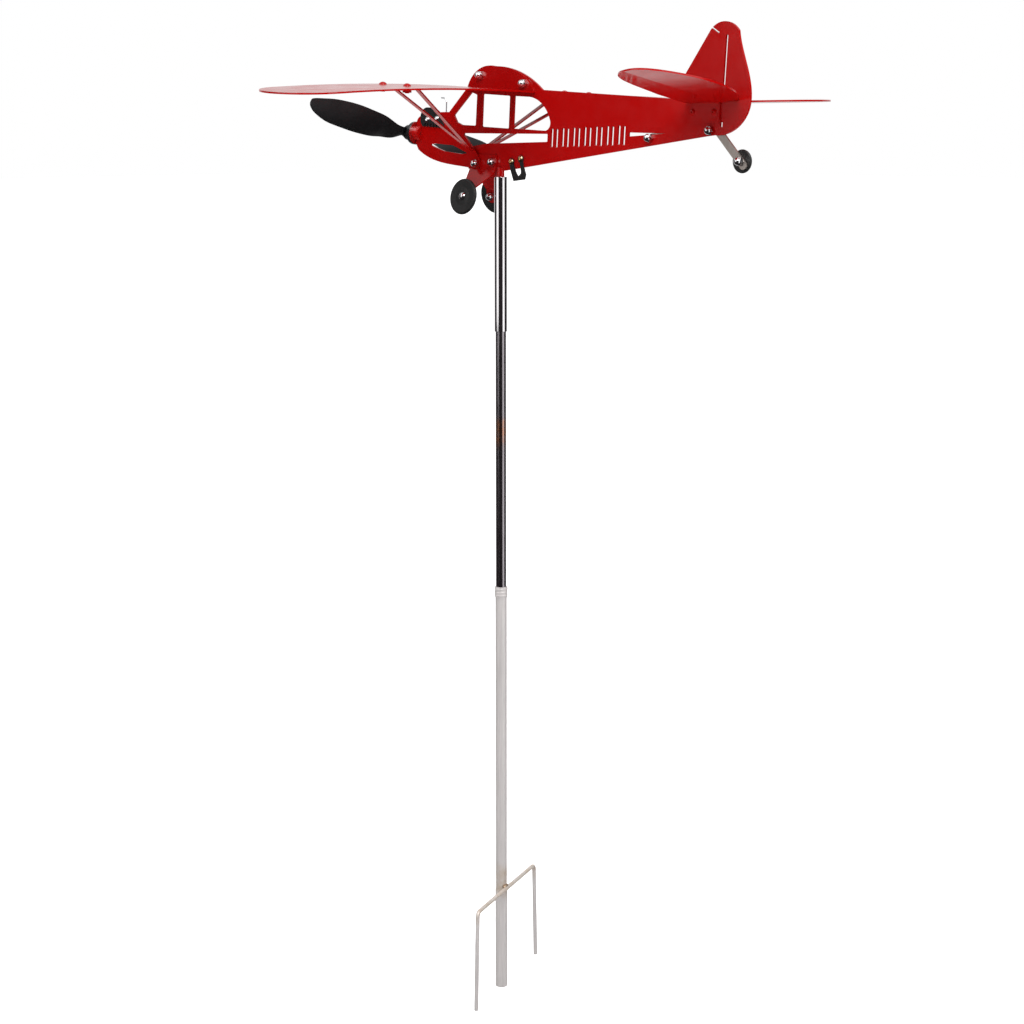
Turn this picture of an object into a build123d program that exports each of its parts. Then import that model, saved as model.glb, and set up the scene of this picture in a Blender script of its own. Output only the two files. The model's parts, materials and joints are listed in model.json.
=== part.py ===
from build123d import *
import math
import os

# A garden wind spinner: a sheet-steel high-wing monoplane that turns into the wind on a pole with a
# ground spike, and whose propeller spins. All sizes are in millimetres.
#
# Row frame: the origin is on the pole's axis where the ground spike's tube ends, at ground level.
# +Z is up, -X is where the nose points and -Y is the pilot's left (port).
# Plane frame: the same directions, but level with the fuselage, with its origin where the pole's axis
# meets the belly. The plane is built in its own frame and then tipped nose up by NOSE_UP.

# ---- driving dimensions: pole and stake ----
SPIKE_R = 6.0
SPIKE_LENGTH = 102.0
POLE_R = 5.5            # lower pole, and the bore of the spike tube
POLE_WALL = 0.8
LOWER_POLE_BOTTOM = -40.0
COUPLER_Z = 296.0       # bottom of the ringed coupler
COUPLER_HEIGHT = 10.0
MIDDLE_R = 5.0
MIDDLE_TOP = 600.0      # hidden inside the sleeve
SLEEVE_R = 6.0
SLEEVE_BOTTOM = 551.0
SLEEVE_TOP = 694.0
FORK_ROD_R = 2.0
FORK_HALF = 69.0        # pole to prong, along the crossbar
FORK_ANGLE = 21.5       # the crossbar's turn from the Y axis, in plan
FORK_BEND_R = 5.0
PRONG_LENGTH = 98.0
PRONG_SPLAY = 2.5

# ---- driving dimensions: swivel at the top of the pole ----
PIVOT_Z = 700.0         # belly of the plane above the ground
NOSE_UP = 3.5
SPINDLE_R = 2.5
RUNNING = 0.05          # radial clearance of every running fit
BEARING_WIDTH = 4.0
CAP_HEIGHT = 2.0
STUB_R = 3.5

# ---- driving dimensions: plane ----
PLATE = 2.0             # fuselage plate thickness
SHEET = 1.5             # wings, tailplane, gear legs and engine plates
HALF_PLATE = PLATE / 2
SKIN = HALF_PLATE + SHEET            # outside of one sheet on the fuselage
TOP_EDGE = 75.0         # level top edge of the fuselage behind the wing
NOSE_FRONT = -116.0
WING_ROOT_Z = 72.5      # middle of the wing sheet at the root
WING_FRONT = -46.0
WING_REAR = 41.0
HALF_SPAN = 266.0
WING_TIP_ROUND = 34.0
TIP_DROP = 6.0          # how far both tips hang below the roots
TAIL_FRONT = 220.0
HINGE_X = 258.0         # rudder and elevator hinge line
TAIL_HALF_SPAN = 128.5
LEG_SPLAY = 36.8
LEG_LENGTH = 23.9       # from the belly bend to the foot bend
FOOT_SPLAY = 10.5
FOOT_LENGTH = 6.5       # from the foot bend to the axle
AXLE_X = -27.5
WHEEL_R = 16.7
WHEEL_WIDTH = 3.5
TAIL_WHEEL_R = 9.8
TAIL_WHEEL_WIDTH = 2.6
TAIL_AXLE = (278.5, 28.0)
GAP = 0.3               # clearance between a turning part and its neighbours
SEAT = 0.06             # lift of a flat screw or nut seat from the gently curved wing

# ---- driving dimensions: propeller ----
PROP_X = -125.2         # middle of the hub
PROP_Z = 26.4
PROP_R = 127.0
PROP_TURN = 12.5        # the blades' angle from level at rest
PROP_PITCH = 165.0
STEEPEST_PITCH = 42.0   # the blades' angle near the hub, in degrees
HUB_R = 7.2
HUB_LENGTH = 8.0
PROP_BEARING_R = 5.5
PROP_BEARING_WIDTH = 4.0
BEARING_FLANGE_R = 6.3
BEARING_FLANGE = 0.8    # thickness of the flange, which stands outside the hub

# ---- fasteners: (hole radius, shank radius, head radius, head height) ----
M4 = (2.1, 2.0, 3.8, 2.2)
M3 = (1.6, 1.5, 2.85, 1.65)
NUT_M4 = (4.04, 2.8, 3.25)           # corner radius, hexagon height, dome radius
NUT_M3 = (3.18, 2.2, 2.6)
NUT_NECK = 0.3          # straight part under the dome
NUT_DEPTH = 5.0         # depth of an M4 cap nut's bore, which its bolt fills
NUT_DEPTH_M3 = 3.0

# Fastener places on the fuselage plate, (x, z) in the plane frame.
WING_BOLTS = [(-28.8, 84.5), (27.5, 79.6)]
GEAR_BOLTS = [(-28.5, 4.2), (-8.3, 6.6)]
TAIL_BOLTS = [(180.3, 40.8), (246.5, 51.0)]
STABILIZER_SCREWS = [(227.5, 65.0), (250.5, 66.5)]
ENGINE_SCREWS = [(-99.5, 40.0), (-86.5, 41.5)]
STEP_SCREWS = [(15.4, 8.7), (27.2, 12.2)]

LEFT = -1
RIGHT = 1


# ---- helpers ----
def in_flight(shape):
    """Moves a shape from the plane frame to the row frame."""
    return Pos(0, 0, PIVOT_Z) * Rot(0, NOSE_UP, 0) * shape


def side_plate(face, low, high):
    """Extrudes a face drawn in (x, z) into a plate from y = low to y = high."""
    outer = Plane(origin=(0, high, 0), x_dir=(1, 0, 0), z_dir=(0, -1, 0))
    return extrude(outer * face, high - low)


def layer(face, side, inner, outer):
    """A plate on one side of the fuselage, between two distances from its middle."""
    return side_plate(face, *sorted((side * inner, side * outer)))


def outline(*points, radius=0.0):
    """A closed polygon face, with its corners rounded if a radius is given."""
    face = make_face(Polyline(*points, close=True))
    if radius:
        face = fillet(face.vertices(), radius)
    return face


def hole_through(place, radius):
    """A round cutter across the fuselage."""
    return Pos(place[0], 0, place[1]) * Rot(90, 0, 0) * Cylinder(radius, 60)


def drilled(shape, places, radius):
    """The shape with a hole across it at each (x, z) place."""
    for place in places:
        shape -= hole_through(place, radius)
    return shape


def tube(outer, inner, low, high):
    """A round tube on the Z axis from z = low to z = high."""
    height = high - low
    return Pos(0, 0, (low + high) / 2) * (Cylinder(outer, height) - Cylinder(inner, height))


def one_body(shape):
    """The single solid of a shape, for nodes that must be one piece."""
    solids = shape.solids()
    assert len(solids) == 1, f"expected one solid, got {len(solids)}"
    return solids[0]


def button_screw(size, length, socket=0.55):
    """A button-head screw: its head is above z = 0 and its shank below."""
    _, shank, head, height = size
    sphere_r = (head ** 2 + height ** 2) / (2 * height)
    dome = Pos(0, 0, height - sphere_r) * Sphere(sphere_r)
    cap = dome & Pos(0, 0, height / 2) * Cylinder(head, height)
    recess = Pos(0, 0, height) * extrude(RegularPolygon(shank * socket, 6), -height * 0.6)
    return cap - recess + Pos(0, 0, -length / 2) * Cylinder(shank, length)


def acorn_nut(size, bore, depth):
    """A domed cap nut: its seat is at z = 0, its dome points up and its blind bore is filled by the bolt."""
    corner, height, dome_r = size
    hexagon = extrude(RegularPolygon(corner, 6), height)
    chamfer_ball = Sphere(corner * 1.13)
    dome = Sphere(dome_r) & Pos(0, 0, dome_r / 2) * Cylinder(dome_r, dome_r)
    neck = Pos(0, 0, height + NUT_NECK / 2) * Cylinder(dome_r, NUT_NECK)
    body = (hexagon & chamfer_ball) + neck + Pos(0, 0, height + NUT_NECK) * dome
    return body - Pos(0, 0, depth / 2) * Cylinder(bore, depth)


def across(place, y, side):
    """A location at (x, z) on the fuselage whose +Z points outward on that side."""
    return Pos(place[0], y, place[1]) * Rot(-90 * side, 0, 0)


def bolt_set(places, size, port_stack, starboard_stack, reach):
    """Bolts with heads on the starboard side; reach is how far the shank stands out to port."""
    length = port_stack + starboard_stack + reach
    return [across(p, starboard_stack, RIGHT) * button_screw(size, length) for p in places]


def nut_set(places, nut, bore, port_stack, depth):
    """Cap nuts on the port side."""
    return [across(p, -port_stack, LEFT) * acorn_nut(nut, bore, depth) for p in places]


# ---- pole and stake ----
def make_ground_spike():
    shell = tube(SPIKE_R, POLE_R, -SPIKE_LENGTH, 0)
    bottom_edge = shell.edges().filter_by(GeomType.CIRCLE).group_by(Axis.Z)[0].sort_by(SortBy.RADIUS)[-1]
    return chamfer(bottom_edge, 0.3)


def make_lower_pole():
    return tube(POLE_R, POLE_R - POLE_WALL, LOWER_POLE_BOTTOM, COUPLER_Z + 6)


def fork_direction():
    """Unit vector along the crossbar, towards the prong on the port side."""
    angle = math.radians(FORK_ANGLE)
    return Vector(math.sin(angle), -math.cos(angle), 0)


def make_ground_fork():
    along = fork_direction()
    middle = Vector(POLE_R + FORK_ROD_R, 0, FORK_ROD_R + GAP)
    splay = math.radians(PRONG_SPLAY)
    corners = []
    for sign in (1, -1):
        corner = middle + along * (sign * FORK_HALF)
        foot = corner + along * (sign * PRONG_LENGTH * math.sin(splay))
        foot = foot - Vector(0, 0, PRONG_LENGTH * math.cos(splay))
        corners += [(corner, foot)]
    path = FilletPolyline(corners[0][1], corners[0][0], corners[1][0], corners[1][1], radius=FORK_BEND_R)
    start = Plane(origin=path @ 0, z_dir=path % 0)
    rod = sweep(start * Circle(FORK_ROD_R), path=path)
    return one_body(rod - Cylinder(POLE_R, 40))


def make_fork_weld():
    """The bead that joins the crossbar to the pole: a lumpy fillet above the rod."""
    along = fork_direction()
    middle = Vector(POLE_R + FORK_ROD_R, 0, FORK_ROD_R + GAP)
    beads = []
    for step, size in ((-3.0, 1.5), (-1.0, 1.9), (1.2, 1.7), (3.2, 1.4)):
        centre = middle + along * step + Vector(-1.2, 0, FORK_ROD_R * 0.9)
        beads += [Pos(centre) * Sphere(size)]
    bead = beads[0] + beads[1] + beads[2] + beads[3]
    bead -= Cylinder(POLE_R, 60)
    return one_body(bead - make_ground_fork())


def make_pole_coupler():
    """A ringed collar: its lower half grips the lower pole and its upper half the middle pole."""
    low = COUPLER_Z
    high = COUPLER_Z + COUPLER_HEIGHT
    collar = Pos(0, 0, (low + high) / 2) * Cylinder(SPIKE_R, COUPLER_HEIGHT)
    for share in (0.18, 0.5, 0.82):
        collar += Pos(0, 0, low + share * COUPLER_HEIGHT) * Torus(SPIKE_R, 0.5)
    collar -= Pos(0, 0, low + 3) * Cylinder(POLE_R, 6)
    collar -= Pos(0, 0, high) * Cylinder(MIDDLE_R, COUPLER_HEIGHT * 2)
    return collar


def make_middle_pole():
    """The middle pole reaches down inside the lower pole's bore and up into the sleeve."""
    upper = tube(MIDDLE_R, MIDDLE_R - POLE_WALL, COUPLER_Z + 6, MIDDLE_TOP)
    spigot = tube(POLE_R - POLE_WALL, MIDDLE_R - POLE_WALL, COUPLER_Z - 30, COUPLER_Z + 6)
    return one_body(upper + spigot)


def make_top_sleeve():
    shell = tube(SLEEVE_R, MIDDLE_R, SLEEVE_BOTTOM, SLEEVE_TOP)
    rims = shell.edges().filter_by(GeomType.CIRCLE).filter_by(lambda e: abs(e.radius - SLEEVE_R) < 0.01)
    return fillet(rims, 0.4)


UPPER_BEARING_TOP = SLEEVE_TOP - CAP_HEIGHT
LOWER_BEARING_TOP = UPPER_BEARING_TOP - 34.0


def make_bearing(outer_r, bore_r, width, top):
    """A shielded ball bearing on the Z axis: outer ring, recessed shields and inner ring."""
    outer_ring = tube(outer_r, outer_r - 0.9, top - width, top)
    shield = tube(outer_r - 0.9, bore_r + RUNNING + 0.8, top - width + 0.2, top - 0.2)
    inner_ring = tube(bore_r + RUNNING + 0.8, bore_r + RUNNING, top - width, top)
    return Compound([outer_ring.solid(), shield.solid(), inner_ring.solid()])


def make_sleeve_cap():
    """The pressed-in cap that holds the upper bearing; the spindle's shoulder turns inside it."""
    return tube(MIDDLE_R, STUB_R + GAP, UPPER_BEARING_TOP, SLEEVE_TOP)


def make_bearing_spacer():
    return tube(MIDDLE_R, MIDDLE_R - 0.8, LOWER_BEARING_TOP, UPPER_BEARING_TOP - BEARING_WIDTH)


def make_bearing_seat():
    return tube(MIDDLE_R, MIDDLE_R - 0.8, MIDDLE_TOP, LOWER_BEARING_TOP - BEARING_WIDTH)


# ---- swivel pieces that turn with the plane ----
def belly_slot():
    """The fuselage plate's solid near the stub, as a cutter."""
    return in_flight(side_plate(outline((-20, 0), (20, 0), (20, 20), (-20, 20)), -HALF_PLATE, HALF_PLATE))


def make_swivel_stub():
    """The painted stub under the belly, with a slot that straddles the plate's lower edge."""
    low = UPPER_BEARING_TOP + 0.6
    high = PIVOT_Z + 2.5
    stub = Pos(0, 0, (low + high) / 2) * Cylinder(STUB_R, high - low)
    stub -= belly_slot()
    stub -= Pos(0, 0, low + 2) * Cylinder(SPINDLE_R, 4)
    return one_body(stub)


def make_thrust_washer():
    return tube(STUB_R, SPINDLE_R, UPPER_BEARING_TOP + 0.1, UPPER_BEARING_TOP + 0.6)


CLIP_GROOVE_R = 1.9
CLIP_TOP = LOWER_BEARING_TOP - BEARING_WIDTH - GAP


def make_swivel_spindle():
    low = CLIP_TOP - 4
    high = UPPER_BEARING_TOP + 4.6
    rod = Pos(0, 0, (low + high) / 2) * Cylinder(SPINDLE_R, high - low)
    return rod - tube(SPINDLE_R + 1, CLIP_GROOVE_R, CLIP_TOP - 0.7, CLIP_TOP)


def make_spindle_clip():
    """A snap ring in the spindle's groove; it keeps the plane from lifting off."""
    ring = tube(3.6, CLIP_GROOVE_R, CLIP_TOP - 0.7, CLIP_TOP)
    return one_body(ring - Pos(3, 0, CLIP_TOP) * Box(6, 2.4, 4))


# ---- fuselage ----
def fuselage_outline():
    """The plate's silhouette from nose to rudder, in (x, z) of the plane frame."""
    windscreen_foot = (-71, 48.8)
    windscreen_head = (-47.5, 72.5)
    dome_top = (-11, 93.4)
    dome_rear = (50, TOP_EDGE)
    fin_foot = (202, TOP_EDGE)
    fin_shoulder = (240.5, 133)
    rudder_shoulder = (270, 133.2)
    rudder_heel = (252.5, 47.6)
    belly_rear = (244, 46.2)
    belly_front = (7, 0)
    belly_middle = (-6, 0)
    chin = (-40, -0.7)
    nose_bottom = (-112, 11.2)
    nose_face_low = (NOSE_FRONT, 17)
    nose_face_high = (NOSE_FRONT, 35.5)
    cowl_front = (-108, 43.4)
    return make_face([
        Line(nose_face_low, nose_face_high),
        ThreePointArc(nose_face_high, (-113.6, 40.9), cowl_front),
        ThreePointArc(cowl_front, (-90, 47.2), windscreen_foot),
        Line(windscreen_foot, windscreen_head),
        ThreePointArc(windscreen_head, (-37.7, 86.1), dome_top),
        ThreePointArc(dome_top, (23, 88.8), dome_rear),
        Line(dome_rear, fin_foot),
        Line(fin_foot, fin_shoulder),
        ThreePointArc(fin_shoulder, (255.3, 140.0), rudder_shoulder),
        Spline(rudder_shoulder, (279, 107.6), (286.3, 84), (285.9, 72), (280.2, 60.6), (267.4, 50.6),
               rudder_heel),
        Line(rudder_heel, belly_rear),
        Line(belly_rear, belly_front),
        Line(belly_front, belly_middle),
        Line(belly_middle, chin),
        Spline(chin, (-66, 0.4), (-98, 5.2), nose_bottom),
        Line(nose_bottom, nose_face_low),
    ])


def window_faces():
    """The cabin windows, the long lower opening and the small one behind the nose."""
    front = outline((-41.5, 68.6), (-34, 66.6), (-34.4, 38.4), (-53, 38), (-60, 40.2), (-64.4, 46.4),
                    radius=1.2)
    middle = outline((-26.5, 67.7), (9.2, 67.7), (9.2, 38.4), (-26.5, 38), radius=1.2)
    rear = make_face([
        Line((14.7, 38.7), (14.7, 67.8)),
        Line((14.7, 67.8), (31, 68)),
        ThreePointArc((31, 68), (50.5, 62.4), (61, 49)),
        ThreePointArc((61, 49), (60.6, 42.6), (54.5, 39.2)),
        Line((54.5, 39.2), (14.7, 38.7)),
    ])
    lower = outline((-51.3, 30.4), (58.9, 36.6), (58.9, 29.6), (-19.4, 22.9), (-38.5, 19.2),
                    radius=0.8)
    chin = outline((-97, 17), (-88, 18.5), (-64, 18.4), (-43, 12.2), (-52, 11.2), (-76, 12.2),
                   radius=0.5)
    return [front, middle, rear, lower, chin]


SLOT_PAIRS = 7
PAIR_PITCH = 13.4
SLOT_HEIGHT = 16.8
SLOT_WIDTH = 2.9
SLOT_SPACING = 5.9
FIRST_PAIR = (67.3, 33.4)
ROW_RISE = 0.093        # the row climbs with the belly


def trim_faces():
    """Seven pairs of upright slots along the side, the tapered flash behind them and the tail's slots."""
    faces = []
    for pair in range(SLOT_PAIRS):
        x = FIRST_PAIR[0] + pair * PAIR_PITCH
        z = FIRST_PAIR[1] + pair * PAIR_PITCH * ROW_RISE
        for side in (-0.5, 0.5):
            slot = SlotOverall(SLOT_HEIGHT, SLOT_WIDTH, rotation=90)
            faces += [Pos(x + side * SLOT_SPACING, z) * slot]
    flash = outline((156, 43.9), (156, 40.5), (198.5, 45.6))
    rudder_slot = Pos(HINGE_X, 102.5) * SlotOverall(54, 2.3, rotation=90)
    heel_slot = Pos(HINGE_X, 57.4) * SlotOverall(6.5, 2.3, rotation=90)
    horn_slot = Pos(244.5, 133) * Rot(0, 0, -28) * Rectangle(11, 1.4)
    return faces + [flash, rudder_slot, heel_slot, horn_slot]


def make_fuselage_plate():
    face = fuselage_outline()
    for opening in window_faces() + trim_faces():
        face -= opening
    plate = side_plate(face, -HALF_PLATE, HALF_PLATE)
    for places in (WING_BOLTS, GEAR_BOLTS, TAIL_BOLTS):
        plate = drilled(plate, places, M4[0])
    for places in (STABILIZER_SCREWS, ENGINE_SCREWS):
        plate = drilled(plate, places, M3[0])
    plate = drilled(plate, STEP_SCREWS, M3[1])
    plate -= Pos(GAUGE_X, 0, GAUGE_FOOT) * Cylinder(GAUGE_WIRE_R, 8)
    return one_body(plate)


# ---- wings ----
ARCH_RISE = {LEFT: 3.8, RIGHT: -0.7}   # how far mid-span stands above the line from root to tip


def wing_curve(side, lift=0.0):
    """A line along the sheet from root to tip, drawn in (span, z), lifted from the sheet's middle. The
    left wing arches up before it droops and the right one hangs almost straight."""
    arch_rise = ARCH_RISE[side]
    root = (0, WING_ROOT_Z + lift)
    middle = (HALF_SPAN / 2, WING_ROOT_Z - TIP_DROP / 2 + arch_rise + lift)
    tip = (HALF_SPAN, WING_ROOT_Z - TIP_DROP + lift)
    return ThreePointArc(root, middle, tip)


def wing_middle_height(side, distance):
    """Height of the wing sheet's middle at a distance out along the span."""
    return (wing_curve(side) @ (distance / HALF_SPAN)).Y


def make_wing(side):
    upper = wing_curve(side, SHEET / 2)
    lower = wing_curve(side, -SHEET / 2)
    section = make_face([upper, lower, Line(upper @ 0, lower @ 0), Line(upper @ 1, lower @ 1)])
    length = WING_REAR - WING_FRONT + 20
    upright = Plane(origin=(WING_FRONT - 10, 0, 0), x_dir=(0, side, 0), z_dir=(side, 0, 0))
    sheet = extrude(upright * section, length * side)
    round_start = HALF_SPAN - WING_TIP_ROUND
    half_chord = (WING_REAR - WING_FRONT) / 2
    middle = (WING_REAR + WING_FRONT) / 2
    straight_span = round_start - HALF_PLATE
    straight = Pos(middle, HALF_PLATE + straight_span / 2) * Rectangle(2 * half_chord, straight_span)
    tip = Pos(middle, round_start) * Ellipse(half_chord, WING_TIP_ROUND)
    plan = Plane.XY.offset(40) * (straight + tip)
    if side == LEFT:
        plan = mirror(plan, Plane.XZ)
    wing = sheet & extrude(plan, 60, dir=(0, 0, 1))
    root = make_face([
        ThreePointArc((WING_FRONT, WING_ROOT_Z), (-37.1, 86.0), (-11, 93.1)),
        ThreePointArc((-11, 93.1), (5, 92.3), (21, 88.7)),
        ThreePointArc((21, 88.7), (32.5, 82), (WING_REAR, WING_ROOT_Z)),
        Line((WING_REAR, WING_ROOT_Z), (WING_FRONT, WING_ROOT_Z)),
    ])
    wing += layer(root, side, HALF_PLATE, SKIN)
    wing = drilled(wing, WING_BOLTS, M4[0])
    for x in STRUT_X:
        wing -= Pos(x, side * STRUT_SCREW_Y, WING_ROOT_Z) * Cylinder(M4[0], 30)
    return one_body(wing)


# ---- wing struts ----
STRUT_FOOT = {LEFT: (-36.0, 15.5), RIGHT: (-34.0, 13.0)}   # (x, z) where the two legs meet
STRUT_X = (-34.5, -2.5)
STRUT_TOP_Y = 106.0
STRUT_SCREW_Y = 117.0
STRUT_TAB_END_Y = 123.0
STRUT_WIDTH = 4.6
STRUT_TAB_WIDTH = 8.0
STRUT_THICKNESS = 1.4
STRUT_SCREW_LENGTH = 6.5


def flat_bar(start, end, width_dir, width, thickness):
    """A straight flat bar from start to end; its width lies along width_dir."""
    start = Vector(*start)
    end = Vector(*end)
    profile = Plane(origin=start, x_dir=width_dir, z_dir=end - start) * Rectangle(width, thickness)
    return extrude(profile, (end - start).length, dir=(end - start).normalized())


def wing_underside(side, distance):
    return wing_middle_height(side, distance) - SHEET / 2


def make_strut(side):
    """One V of two flat legs: a foot under the front gear bolt and a screwed tab under the wing on each."""
    foot_y = side * (2 * SHEET + HALF_PLATE - SHEET / 2)
    top_z = wing_underside(side, STRUT_TOP_Y) - STRUT_THICKNESS / 2
    end_z = wing_underside(side, STRUT_TAB_END_Y) - STRUT_THICKNESS / 2
    foot_x, foot_z = STRUT_FOOT[side]
    foot = outline((-38, 0.6), (-24.2, 0.6), (-24.2, 8), (foot_x + 3.5, foot_z + 2), (foot_x - 3, foot_z + 2),
                   radius=1.5)
    strut = layer(foot, side, SKIN, SKIN + SHEET)
    start = (foot_x, foot_y, foot_z)
    for x in STRUT_X:
        top = (x, side * STRUT_TOP_Y, top_z)
        strut += flat_bar(start, top, (1, 0, 0), STRUT_WIDTH, STRUT_THICKNESS)
        tab_end = (x, side * STRUT_TAB_END_Y, end_z)
        tab = flat_bar(top, tab_end, (1, 0, 0), STRUT_TAB_WIDTH, STRUT_THICKNESS)
        strut += tab - Pos(x, side * STRUT_SCREW_Y, top_z) * Cylinder(M4[0], 10)
    return one_body(drilled(strut, [GEAR_BOLTS[0]], M4[0]))


def strut_screw_place(side, x):
    """The middle of the wing's sheet at a strut screw, with +Z square to the sheet."""
    along = wing_curve(side) % (STRUT_SCREW_Y / HALF_SPAN)
    slope = math.degrees(math.atan2(along.Y, along.X))
    height = wing_middle_height(side, STRUT_SCREW_Y)
    return Pos(x, side * STRUT_SCREW_Y, height) * Rot(side * slope, 0, 0)


def make_strut_screws():
    """The screws stand in the wing with their heads on top."""
    screw = Pos(0, 0, SHEET / 2 + SEAT) * button_screw(M4, STRUT_SCREW_LENGTH)
    return [strut_screw_place(side, x) * screw for side in (LEFT, RIGHT) for x in STRUT_X]


def make_strut_nuts():
    hexagon = extrude(RegularPolygon(NUT_M4[0], 6), -NUT_M4[1]) - Cylinder(M4[1], 10)
    nut = Pos(0, 0, -SHEET / 2 - STRUT_THICKNESS - SEAT) * hexagon
    return [strut_screw_place(side, x) * nut for side in (LEFT, RIGHT) for x in STRUT_X]


# ---- tailplane ----
def stabilizer_plan():
    """One half of the tailplane in (x, span), fixed part and elevator."""
    fixed = make_face([
        Line((TAIL_FRONT, HALF_PLATE), (TAIL_FRONT + 1, 42)),
        Spline((TAIL_FRONT + 1, 42), (228, 83), (240, 112), (HINGE_X, TAIL_HALF_SPAN - 3)),
        Line((HINGE_X, TAIL_HALF_SPAN - 3), (HINGE_X, HALF_PLATE)),
        Line((HINGE_X, HALF_PLATE), (TAIL_FRONT, HALF_PLATE)),
    ])
    elevator = make_face([
        Line((HINGE_X, HALF_PLATE + GAP), (HINGE_X, TAIL_HALF_SPAN - 3)),
        Spline((HINGE_X, TAIL_HALF_SPAN - 3), (272, 125), (289, 102), (297, 68), (293.5, 34), (283, 12)),
        Line((283, 12), (275, HALF_PLATE + GAP)),
        Line((275, HALF_PLATE + GAP), (HINGE_X, HALF_PLATE + GAP)),
    ])
    return fixed, elevator


TAIL_ROOT = (TAIL_FRONT, 72.3)
TAIL_RISE = 4.2          # slope of the root bend line, in degrees


def make_stabilizer(side, dihedral, elevator_up):
    """A tailplane half: a flange on the fuselage, the fixed part bent out of it and the elevator."""
    fixed, elevator = stabilizer_plan()
    hinge = Axis((HINGE_X, 0, 0), (0, 1, 0))
    moved = Pos(0, 0, -SHEET / 2) * extrude(elevator, SHEET)
    surface = Pos(0, 0, -SHEET / 2) * extrude(fixed, SHEET) + moved.rotate(hinge, -elevator_up)
    surface = surface.rotate(Axis((0, HALF_PLATE, 0), (1, 0, 0)), dihedral)
    surface = surface.rotate(Axis((TAIL_FRONT, 0, 0), (0, 1, 0)), -TAIL_RISE)
    surface = Pos(0, 0, TAIL_ROOT[1]) * surface
    if side == LEFT:
        surface = mirror(surface, Plane.XZ)
    rise = math.tan(math.radians(TAIL_RISE))
    rear_x = HINGE_X - 2
    rear_z = TAIL_ROOT[1] + rise * (rear_x - TAIL_FRONT)
    flange = outline(TAIL_ROOT, (rear_x, rear_z), (rear_x + 0.8, rear_z - 16.5),
                     (TAIL_FRONT + 1, TAIL_ROOT[1] - 17.5))
    surface += layer(flange, side, HALF_PLATE, SKIN)
    fuselage = side_plate(outline((200, 20), (300, 20), (300, 150), (200, 150)), -HALF_PLATE, HALF_PLATE)
    return one_body(drilled(surface - fuselage, STABILIZER_SCREWS, M3[0]))


# ---- landing gear ----
LEG_START = (HALF_PLATE + SHEET / 2, -1.0)       # (y, z) of the belly bend, from here to the foot bend
FOOT_START = (LEG_START[0] + LEG_LENGTH * math.sin(math.radians(LEG_SPLAY)),
              LEG_START[1] - LEG_LENGTH * math.cos(math.radians(LEG_SPLAY)))
FOOT_FRONT = 6.0         # half width of the leg at the foot bend
FOOT_END_R = 6.2         # round end of the foot below the axle


def leg_plane(side, start, splay):
    """A plane in the middle of the leg's sheet: y runs down the leg, z points outward and x runs aft on
    the right and forward on the left."""
    angle = math.radians(splay)
    outward = (0, side * math.cos(angle), math.sin(angle))
    return Plane(origin=(0, side * start[0], start[1]), x_dir=(side, 0, 0), z_dir=outward)


def leg_sheet(plane, side, *points):
    """A piece of the leg's sheet with the given outline, (x, distance down the leg)."""
    face = make_face(Polyline(*[(side * x, down) for x, down in points], close=True))
    return plane * (Pos(0, 0, -SHEET / 2) * extrude(face, SHEET))


def make_gear_leg(side):
    """A flange on the fuselage, a tapered leg bent outward from it and an upright foot for the axle."""
    upper = leg_plane(side, LEG_START, LEG_SPLAY)
    lower = leg_plane(side, FOOT_START, FOOT_SPLAY)
    front = AXLE_X - FOOT_FRONT
    rear = AXLE_X + FOOT_FRONT
    leg = leg_sheet(upper, side, (-38.5, -0.6), (-5, -0.6), (-6, 5), (rear, LEG_LENGTH), (front, LEG_LENGTH))
    leg += leg_sheet(lower, side, (front, 0), (rear, 0), (AXLE_X + FOOT_END_R, FOOT_LENGTH),
                     (AXLE_X - FOOT_END_R, FOOT_LENGTH))
    leg += lower * Pos(side * AXLE_X, FOOT_LENGTH, 0) * Cylinder(FOOT_END_R, SHEET)
    leg += lower * Pos(side * AXLE_X, 0, 0) * Rot(0, 90, 0) * Cylinder(SHEET / 2, 2 * FOOT_FRONT)
    flange = outline((-40.5, -1.6), (-3.9, -1.6), (-3.9, 13.5), (-40.5, 12), radius=0.7)
    leg += layer(flange, side, HALF_PLATE, SKIN)
    leg = drilled(leg, GEAR_BOLTS, M4[0])
    leg -= lower * Pos(side * AXLE_X, FOOT_LENGTH, 0) * Cylinder(M4[0], 10)
    fuselage = side_plate(outline((-60, 0), (30, 0), (30, 40), (-60, 40)), -HALF_PLATE, HALF_PLATE)
    return one_body(leg - fuselage)


def wheel_place(side):
    """The wheel's middle, with +Z outward along its axle."""
    foot = leg_plane(side, FOOT_START, FOOT_SPLAY)
    middle = foot * Pos(side * AXLE_X, FOOT_LENGTH, SHEET / 2 + GAP + WHEEL_WIDTH / 2)
    return Plane(origin=middle.position, x_dir=(1, 0, 0), z_dir=foot.z_dir)


def wheel_body(radius, width, bore):
    """A disc wheel with a rounded tread, a shallow dish on both faces and a hub boss."""
    half = width / 2
    rim = radius * 0.9
    dish = radius * 0.5
    hub = radius * 0.34
    sunk = half - width * 0.09
    profile = make_face([
        Line((bore, -half), (hub, -half)),
        Line((hub, -half), (dish, -sunk)),
        Line((dish, -sunk), (rim, -half)),
        ThreePointArc((rim, -half), (radius, 0), (rim, half)),
        Line((rim, half), (dish, sunk)),
        Line((dish, sunk), (hub, half)),
        Line((hub, half), (bore, half)),
        Line((bore, half), (bore, -half)),
    ])
    return revolve(Plane.XZ * profile, Axis.Z)


def make_wheel(side):
    return one_body(wheel_place(side) * wheel_body(WHEEL_R, WHEEL_WIDTH, M4[1] + RUNNING))


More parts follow.
